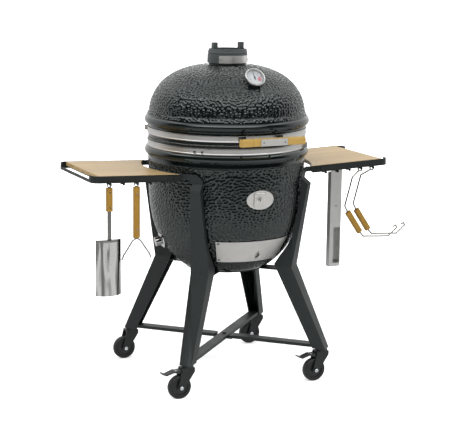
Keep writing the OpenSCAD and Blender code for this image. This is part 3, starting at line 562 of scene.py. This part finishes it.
# ---------------------------------------------------------------- dimpled glaze

DENT_TOP, DENT_DEEP = 2.2, 2.15
STEPS, FOOT_Z = 60, 380.0


def bowl(t, p, q):
    """Width of the egg, as a share, at the share t of its height; p and q set how full it is."""
    return (1 - t ** p) ** (1 / q)


class Hammered:
    """Glaze over an egg-shaped wall, hammered all round with slanting dents; patches are cut from it."""

    PITCH = 10.2
    ROW, GAP = 0.92, 1.28
    LONG, SHORT, DEPTH = (4.6, 6.2), (3.1, 3.9), (0.75, 1.0)
    STEEP, GENTLE = 0.60, 1.45

    def __init__(self, profile, seed):
        self.prof = np.array(profile)
        self.along = np.concatenate([[0], np.cumsum(np.hypot(*np.diff(self.prof, axis=0).T))])
        rng = np.random.default_rng(seed)
        self.dents = []
        for k in range(int(self.along[-1] / self.PITCH) + 2):
            s_k = k * self.PITCH * self.ROW
            r_k = max(20.0, float(np.interp(s_k, self.along, self.prof[:, 0])))
            count = int(TAU * r_k / (self.PITCH * self.GAP))
            for c in range(count):
                u = (c + 0.5 * (k % 2) + rng.uniform(-0.32, 0.32)) / count * TAU - math.pi
                s0 = s_k + rng.uniform(-0.34, 0.34) * self.PITCH
                flow = 0.55 * math.sin(3 * u + 0.013 * s0) + 0.45 * math.sin(0.021 * s0 - 5 * u + 1.0)
                turn = 1.15 * flow + rng.uniform(-0.4, 0.4)
                size = rng.uniform(*self.LONG), rng.uniform(*self.SHORT), rng.uniform(*self.DEPTH)
                self.dents.append((u, s0, r_k, turn, *size))

    def depths(self, s, az, down):
        """How deep the dents are, as a share, over rows at lengths s and columns at azimuths az."""
        ds, da = s[1] - s[0], az[1] - az[0]
        height = np.zeros((len(s), len(az)))
        for u, s0, r_k, turn, long_r, short_r, depth in self.dents:
            reach = 1.55 * long_r
            for lap in (-TAU, 0, TAU):
                middle = u + lap - az[0]
                j0 = max(int((middle - reach / r_k) / da), 0)
                j1 = min(int((middle + reach / r_k) / da) + 2, len(az))
                i0, i1 = max(int((s0 - reach) / ds), 0), min(int((s0 + reach) / ds) + 2, len(s))
                if i0 >= i1 or j0 >= j1:
                    continue
                ps = s[i0:i1, None] - s0
                pu = (az[None, j0:j1] - u - lap) * r_k
                a = (pu * math.cos(turn) + ps * math.sin(turn)) / long_r
                b = (-pu * math.sin(turn) + ps * math.cos(turn)) / short_r * down
                b = np.where(b > 0, b / self.GENTLE, b / self.STEEP)
                dent = depth * np.exp(-(a * a + b * b) ** 1.3)
                height[i0:i1, j0:j1] = np.maximum(height[i0:i1, j0:j1], dent)
        return height

    def patch(self, name, body, az0, az1, n_az, n_rows, holes=()):
        """One piece of the skin between two azimuths, without the faces inside the holes."""
        s = np.linspace(0, self.along[-1], n_rows)
        r, z = np.interp(s, self.along, self.prof[:, 0]), np.interp(s, self.along, self.prof[:, 1])
        tr, tz = np.gradient(r, s), np.gradient(z, s)
        length = np.hypot(tr, tz)
        nr, nz = -tz / length, tr / length
        if (nr * r).sum() < 0:
            nr, nz = -nr, -nz
        az = np.linspace(az0, az1, n_az)
        height = self.depths(s, az, 1 if z[0] > z[-1] else -1)
        tuck = np.clip(np.minimum(s, self.along[-1] - s) / 6.0, 0, 1)[:, None]
        lift = (DENT_TOP - DENT_DEEP * height) * tuck - 0.5 * (1 - tuck)
        rr = r[:, None] + nr[:, None] * lift
        zz = z[:, None] + nz[:, None] * lift
        verts = np.stack([rr * np.sin(az)[None, :], -rr * np.cos(az)[None, :], zz], -1).reshape(-1, 3) * MM
        mid_az, mid_z = (az[:-1] + az[1:]) / 2, (z[:-1] + z[1:]) / 2
        keep = np.ones((n_rows - 1, n_az - 1), bool)
        for h_az0, h_az1, h_z0, h_z1 in holes:
            in_z = (mid_z > h_z0) & (mid_z < h_z1)
            in_az = (mid_az > h_az0) & (mid_az < h_az1)
            keep &= ~(in_z[:, None] & in_az[None, :])
        ii, jj = np.nonzero(keep)
        a = ii * n_az + jj
        quads = np.stack([a, a + 1, a + n_az + 1, a + n_az], 1)
        if z[0] < z[-1]:
            quads = quads[:, ::-1]
        new_piece(name, verts, quads[:, ::-1].tolist(), "glaze", body)


def base_rad(z):
    """Radius of the base's wall at height z."""
    return EGG_R * bowl(max(0.0, (WAIST_Z - z) / BASE_H), 3.1, 2.04)


def base_profile():
    """From the bead below the band down to the support ring."""
    pts = [(EGG_R + 3.2, 752.0), (EGG_R + 2, 745.0), (EGG_R, WAIST_Z)]
    for i in range(1, STEPS + 1):
        z = WAIST_Z - math.sin(math.radians(90 * i / STEPS)) * (WAIST_Z - FOOT_Z)
        pts.append((base_rad(z), z))
    return pts


def dome_profile():
    """From the bead above the lid's band up to the vent."""
    pts = [(EGG_R + 8, 895.8)]
    for i in range(4, STEPS + 1):
        t = 0.984 * math.sin(math.radians(90 * i / STEPS))
        pts.append((EGG_R * bowl(t, 2.143, 2.723), DOME_Z + DOME_H * t))
    pts.append((60.0, 1064.0))
    return pts


rad = math.radians
# azimuth and height (mm) ranges left open for the draft door and the feeder port
HOLES = [(rad(-33.6), rad(33.6), 427, 504), (rad(-5.2), rad(5.2), 623, 667)]
SIDE_PORT_HOLE = (rad(254.3), rad(269.7), 448, 497)
base_skin = Hammered(base_profile(), 3)
base_skin.patch("glaze_base_left", "cart", rad(-90), rad(-30), 222, 395, HOLES)
base_skin.patch("glaze_base_front", "cart", rad(-30), rad(30), 222, 395, HOLES)
base_skin.patch("glaze_base_right", "cart", rad(30), rad(90), 222, 395)
base_skin.patch("glaze_base_rear", "cart", rad(90), rad(270), 420, 225, [SIDE_PORT_HOLE])
dome_skin = Hammered(dome_profile(), 5)
dome_skin.patch("glaze_dome_left", "lid", rad(-115), rad(-25), 334, 264)
dome_skin.patch("glaze_dome_right", "lid", rad(-25), rad(65), 334, 264)
dome_skin.patch("glaze_dome_rear", "lid", rad(65), rad(245), 436, 175)

# ---------------------------------------------------------------- small fittings

# azimuths in degrees of the screws on the base band and on the vent's plate
BASE_BAND_HEADS = [-47.8, -42.2]
VENT_PLATE_HEADS = [-43, 43]
AXLE_END, PEDAL_BACK, PEDAL_Z = 22, 44, 98.0
DOOR_SHARE, DOOR_TOP, DOOR_SLOPE = 0.914, 503, 0.53
DIAL_CENTRE, DIAL_TILT = (0, -213, 1043), 42
# outlines as (radius, height) in mm
AXLE_CAP = [(0.4, 3.4), (2.4, 3.1), (3.9, 2.2), (4.6, 0.9), (4.9, -0.2)]
AXLE_NUT = [(6.9, -0.3), (6.9, 1.0), (6.2, 1.5)]
RIVET = [(0.3, 1.5), (1.6, 1.25), (2.5, 0.5), (2.7, -0.4)]


def around_z(az, radius, z):
    """Origin and outward direction at azimuth az (degrees, 0 at the front) round the egg."""
    a = math.radians(az)
    return Vector((radius * math.sin(a), -radius * math.cos(a), z)), Vector((math.sin(a), -math.cos(a), 0))


def door_rad(z):
    """Radius of the sloping wall behind the draft door at height z."""
    return EGG_R * DOOR_SHARE - (DOOR_TOP - z) * DOOR_SLOPE


def screw_heads(name, body, heads, material):
    """Low domed heads whose cross recess is painted shade, drawn as dark bars; heads are (origin mm,
    direction, radius mm, height mm).
    """
    build, marks = Build(), Build()
    for k, (origin, out, r, h) in enumerate(heads):
        frame_at = facing(origin, out, 0.4 + 0.9 * k)
        dome = [(0.3 * r, h), (0.62 * r, 0.93 * h), (0.88 * r, 0.62 * h), (r, 0.15 * h), (r, -0.2)]
        build.lathe(dome, frame_at, 20)
        # painted shade: the cross recess is drawn as two dark bars
        for w, d in ((0.72 * r, 0.2 * r), (0.2 * r, 0.72 * r)):
            marks.box((-w, -d, 0.5 * h), (w, d, h + 0.06), frame_at)
    build.piece(name, material, body, "band_steel")
    marks.piece(name + "_recess", "dark_marks", body, "band_steel", smooth=False)


def caster_caps():
    """Domed ends of the axles on their nuts."""
    for sx in (-1, 1):
        for sy in (-1, 1):
            name = "caster_" + ("front_" if sy < 0 else "rear_") + ("left" if sx < 0 else "right")
            build = Build()
            for end in (-1, 1):
                place = (sx * SWIVEL - AXLE_BACK, sy * SWIVEL + end * AXLE_END, AXLE_Z)
                build.lathe(AXLE_CAP, facing(place, (0, end, 0)), 24)
                build.lathe(AXLE_NUT, facing(place, (0, end, 0), 0.3), 6)
            build.piece(name + "_axle_caps", "zinc", name, "polished_steel")


def pedal_rivets():
    for side, s in (("left", -1), ("right", 1)):
        build = Build()
        for dy in (-7, 7):
            build.lathe(RIVET, facing((s * SWIVEL - PEDAL_BACK, -SWIVEL + dy, PEDAL_Z), (0, 0, 1)), 18)
        build.piece("pedal_rivets_" + side, "zinc", "brake_" + side, "polished_steel")


def draft_screen():
    """Perforated steel sheet behind the sliding door, bent to the wall."""
    cols, rows = 37, 10
    half, low, tall, back, thick = math.radians(20.6), 441.6, 46.4, 1.6, 0.8
    square = ((0, 0), (1, 0), (1, 1), (0, 1))
    hole = ((0.26, 0.26), (0.74, 0.26), (0.74, 0.74), (0.26, 0.74))
    verts, faces = [], []

    def at(u, v, depth):
        z = low + v * tall
        r = door_rad(z) - back - depth
        a = -half + u * 2 * half
        return (r * math.sin(a) * MM, -r * math.cos(a) * MM, z * MM)

    for i in range(cols):
        for j in range(rows):
            cell = [((i + du) / cols, (j + dv) / rows) for du, dv in square + hole]
            k = len(verts)
            for depth, flip in ((0.0, False), (thick, True)):
                first = len(verts)
                verts.extend(at(u, v, depth) for u, v in cell)
                for q in range(4):
                    p = (q + 1) % 4
                    face = [first + q, first + p, first + 4 + p, first + 4 + q]
                    faces.append(face[::-1] if flip else face)
            for q in range(4):
                p = (q + 1) % 4
                faces.append([k + 4 + q, k + 4 + p, k + 12 + p, k + 12 + q])
    new_piece("draft_screen", verts, faces, "plate", "cart", smooth=False)


def draft_marks():
    """Seats and cross recesses of the draft door's four screws, the crosses drawn dark as painted shade, and
    the lozenge on the door, a darker plate that stands in as painted shade for its diamond opening.
    """
    tilt = math.radians(28)
    seat = ((4.7, -0.5), (4.7, 0.12), (4.1, 0.16), (3.9, -0.5))
    rings, crosses = Build(), Build()
    for k, (a, z) in enumerate([(a, z) for a in (-31, 31) for z in (435, 496)]):
        turn = Matrix.Rotation(math.radians(a), 4, "Z")
        spot = turn @ Vector((0, -door_rad(z) - 2.2, z))
        out = turn @ Vector((0, -math.cos(tilt), -math.sin(tilt)))
        at = facing(spot, out, 0.3 + 0.8 * k)
        rings.tube(seat, at, 32)
        # painted shade: each cross recess is drawn as two dark bars
        for w, d in ((2.7, 0.6), (0.6, 2.7)):
            crosses.box((-w, -d, -0.4), (w, d, 0.1), at)
    rings.piece("draft_screw_seats", "dark_marks", "cart", "band_steel")
    crosses.piece("draft_screw_recess", "dark_marks", "cart", "band_steel", smooth=False)
    # painted shade: a darker steel lozenge stands in for the shade inside the door's diamond opening
    verts = []
    for depth in (2.2, 2.45):
        for da, dz in ((-2.6, 0), (0, -19), (2.6, 0), (0, 19)):
            a, z = math.radians(4 + da), 465 + dz
            r = door_rad(z) + depth
            verts.append((r * math.sin(a) * MM, -r * math.cos(a) * MM, z * MM))
    new_piece("draft_lozenge", verts, BLOCK, "lozenge", "draft_slider", smooth=False)


def dial_print():
    """The thermometer's ticks, two thin rings, blocks for figures, red band at the hot end, and bezel."""
    lean = math.radians(90 - DIAL_TILT)
    face = Matrix.Translation(Vector(DIAL_CENTRE) * MM) @ Matrix.Rotation(lean, 4, "X")
    face_z, ink_z, hot_z = -6.95, -6.8, -6.86
    start, sweep = math.radians(225), math.radians(270)
    dark_marks, hot = Build(), Build()

    def block(build, a0, a1, r0, r1, z0=face_z, z1=ink_z, steps=1):
        for n in range(steps):
            b0, b1 = a0 + (a1 - a0) * n / steps, a0 + (a1 - a0) * (n + 1) / steps
            ring = [(r * math.cos(a), r * math.sin(a)) for r, a in ((r0, b0), (r1, b0), (r1, b1), (r0, b1))]
            build.put(millimetres((x, y, z) for z in (z0, z1) for x, y in ring), BLOCK, face)

    for k in range(28):
        a = start - sweep * k / 27
        wide, inner = (0.040, 20.5) if k % 3 == 0 else (0.018, 23.0)
        block(dark_marks, a - wide / 2, a + wide / 2, inner, 26.0)
    block(dark_marks, start - sweep, start, 26.4, 26.9, steps=40)
    block(dark_marks, math.radians(-40), math.radians(220), 16.6, 16.9, steps=36)
    block(hot, math.radians(-44), math.radians(8), 12.0, 22.5, face_z - 0.05, hot_z, steps=10)
    for k in range(1, 9):
        a = start - sweep * k / 9
        x, y = 18.6 * math.cos(a), 18.6 * math.sin(a)
        for dx in (-1.3, 0.4):
            dark_marks.box((x + dx, y - 1.2, face_z), (x + dx + 0.9, y + 1.2, ink_z), face)
    dark_marks.piece("dial_scale", "dark_marks", "lid", "needle_red", smooth=False)
    hot.piece("dial_hot_band", "hot", "lid", "needle_red", smooth=False)
    rim = [(29.6, 0.1), (30.2, 1.3), (31.4, 2.0), (33.0, 1.9), (34.2, 0.9), (34.9, -1.0), (35.0, -3.5)]
    bezel = Build()
    bezel.tube(rim + [(34.2, -4.2), (29.7, -2.0)], face, 72)
    bezel.piece("dial_bezel", "chrome", "lid", "polished_steel")


base_heads = [(*around_z(a, 272.6, 803), 3.9, 1.2) for a in BASE_BAND_HEADS]
vent_heads = [(*around_z(a, 71.8, 1086), 2.4, 0.7) for a in VENT_PLATE_HEADS]
screw_heads("base_band_heads", "cart", base_heads, "dark_screw")
screw_heads("vent_plate_heads", "lid", vent_heads, "screw")
caster_caps()
pedal_rivets()
draft_screen()
draft_marks()
dial_print()


def soften(names, width):
    """Small rounded edges on folded sheet, boards and the handle."""
    for name in names:
        weld = nodes[name].modifiers.new("weld", "WELD")
        weld.merge_threshold = 0.00002
        edges = nodes[name].modifiers.new("edges", "BEVEL")
        edges.width, edges.segments = width, 2
        edges.limit_method, edges.angle_limit = "ANGLE", math.radians(32)


soften(LEGS, 0.0009)
soften(["shelf_board_left", "shelf_board_right", "port_door", "handle_bar"], 0.0012)

# ---------------------------------------------------------------- stage

def make_floor():
    """Pale paper that glows faintly, more so away from the grill, so that it fades into the white room."""
    half = 60
    corners = [(-half, -half, 0), (half, -half, 0), (half, half, 0), (-half, half, 0)]
    mesh = bpy.data.meshes.new("floor")
    mesh.from_pydata(corners, [], [[0, 1, 2, 3]])
    floor = bpy.data.objects.new("floor", mesh)
    bpy.context.scene.collection.objects.link(floor)
    m = Mat("floor_paper", Specular_IOR_Level=0.0)
    m.colour(m.mix(m.noise(3, 2), (0.85, 0.85, 0.85), (0.88, 0.88, 0.88)))
    m.rough(0.9)
    m.bsdf.inputs["Emission Color"].default_value = (1, 1, 1, 1)
    out = m.add("ShaderNodeVectorMath", {0: m.coord}, operation="LENGTH").outputs["Value"]
    m.put(m.bsdf.inputs["Emission Strength"], m.span(out, 0.8, 3.5, GLOW_NEAR, GLOW_FAR))
    mesh.materials.append(m.mat)
    floor.visible_glossy = False


def make_world():
    """A white room; reflections follow WALL_FRONT on the photograph's side and WALL_BACK behind."""
    world = bpy.data.worlds.new("studio")
    bpy.context.scene.world = world
    world.use_nodes = True
    tree = world.node_tree
    tree.nodes.clear()
    add, link = tree.nodes.new, tree.links.new
    place = add("ShaderNodeTexCoord").outputs["Generated"]
    axes = add("ShaderNodeSeparateXYZ")
    link(place, axes.inputs[0])
    level = add("ShaderNodeMapRange")
    for i, value in enumerate((-1.0, 1.0, 0.0, 1.0), 1):
        level.inputs[i].default_value = value
    link(axes.outputs[2], level.inputs[0])
    towards = add("ShaderNodeVectorMath")
    towards.operation = "DOT_PRODUCT"
    towards.inputs[1].default_value = (math.sin(CAM_AZ), -math.cos(CAM_AZ), 0)
    link(place, towards.inputs[0])
    near = add("ShaderNodeMapRange")
    near.interpolation_type = "SMOOTHSTEP"
    near.inputs[1].default_value, near.inputs[2].default_value = -0.35, 0.15
    link(towards.outputs["Value"], near.inputs[0])
    walls = []
    for stops in (WALL_BACK, WALL_FRONT):
        ramp = add("ShaderNodeValToRGB")
        while len(ramp.color_ramp.elements) < len(stops):
            ramp.color_ramp.elements.new(0.5)
        for element, (sine, value) in zip(ramp.color_ramp.elements, stops):
            element.position, element.color = (sine + 1) / 2, (value, value, value, 1)
        link(level.outputs[0], ramp.inputs[0])
        walls.append(ramp.outputs[0])
    pick = add("ShaderNodeMix")
    pick.data_type = "RGBA"
    link(near.outputs[0], pick.inputs[0])
    link(walls[0], pick.inputs[6])
    link(walls[1], pick.inputs[7])
    seen = add("ShaderNodeMix")
    seen.data_type = "RGBA"
    link(add("ShaderNodeLightPath").outputs["Is Camera Ray"], seen.inputs[0])
    link(pick.outputs[2], seen.inputs[6])
    seen.inputs[7].default_value = (ROOM_WHITE, ROOM_WHITE, ROOM_WHITE, 1)
    back = add("ShaderNodeBackground")
    link(seen.outputs[2], back.inputs[0])
    link(back.outputs[0], add("ShaderNodeOutputWorld").inputs[0])


GLOW_NEAR, GLOW_FAR = 0.34, 0.75
ROOM_WHITE = 1.05
# (sine of the height angle, brightness) pairs
WALL_BACK = [(-1.0, 0.40), (-0.55, 0.50), (-0.1, 0.95), (0.55, 1.25), (0.74, 1.8), (0.85, 0.4), (1.0, 0.3)]
WALL_FRONT = [(-1.0, 0.45), (-0.6, 1.0), (-0.19, 1.50), (-0.135, 0.012), (0.60, 0.012), (0.67, 5.0),
              (0.80, 3.4), (0.88, 1.8), (1.0, 2.2)]


def area_light(name, place, size, power, colour=(1, 1, 1)):
    """Soft light aimed at the middle of the grill, not seen in reflections."""
    data = bpy.data.lights.new(name, "AREA")
    data.shape, data.size, data.size_y = "RECTANGLE", size[0], size[1]
    data.energy, data.color = power, colour
    obj = bpy.data.objects.new(name, data)
    obj.location = place
    obj.rotation_mode = "QUATERNION"
    obj.rotation_quaternion = (LIGHT_TARGET - Vector(place)).to_track_quat("-Z", "Y")
    obj.visible_glossy = False
    bpy.context.scene.collection.objects.link(obj)


LIGHT_TARGET = Vector((0, 0, 0.7))
make_floor()
make_world()
area_light("soft_top", (-0.4, -2.2, 3.4), (3.4, 0.35), 45, (0.93, 0.96, 1.0))
area_light("soft_left", (-3.4, -1.6, 2.2), (0.7, 1.6), 30)
area_light("soft_right", (3.2, -1.6, 2.0), (0.7, 1.6), 30)
bpy.context.scene.view_settings.view_transform = "Standard"
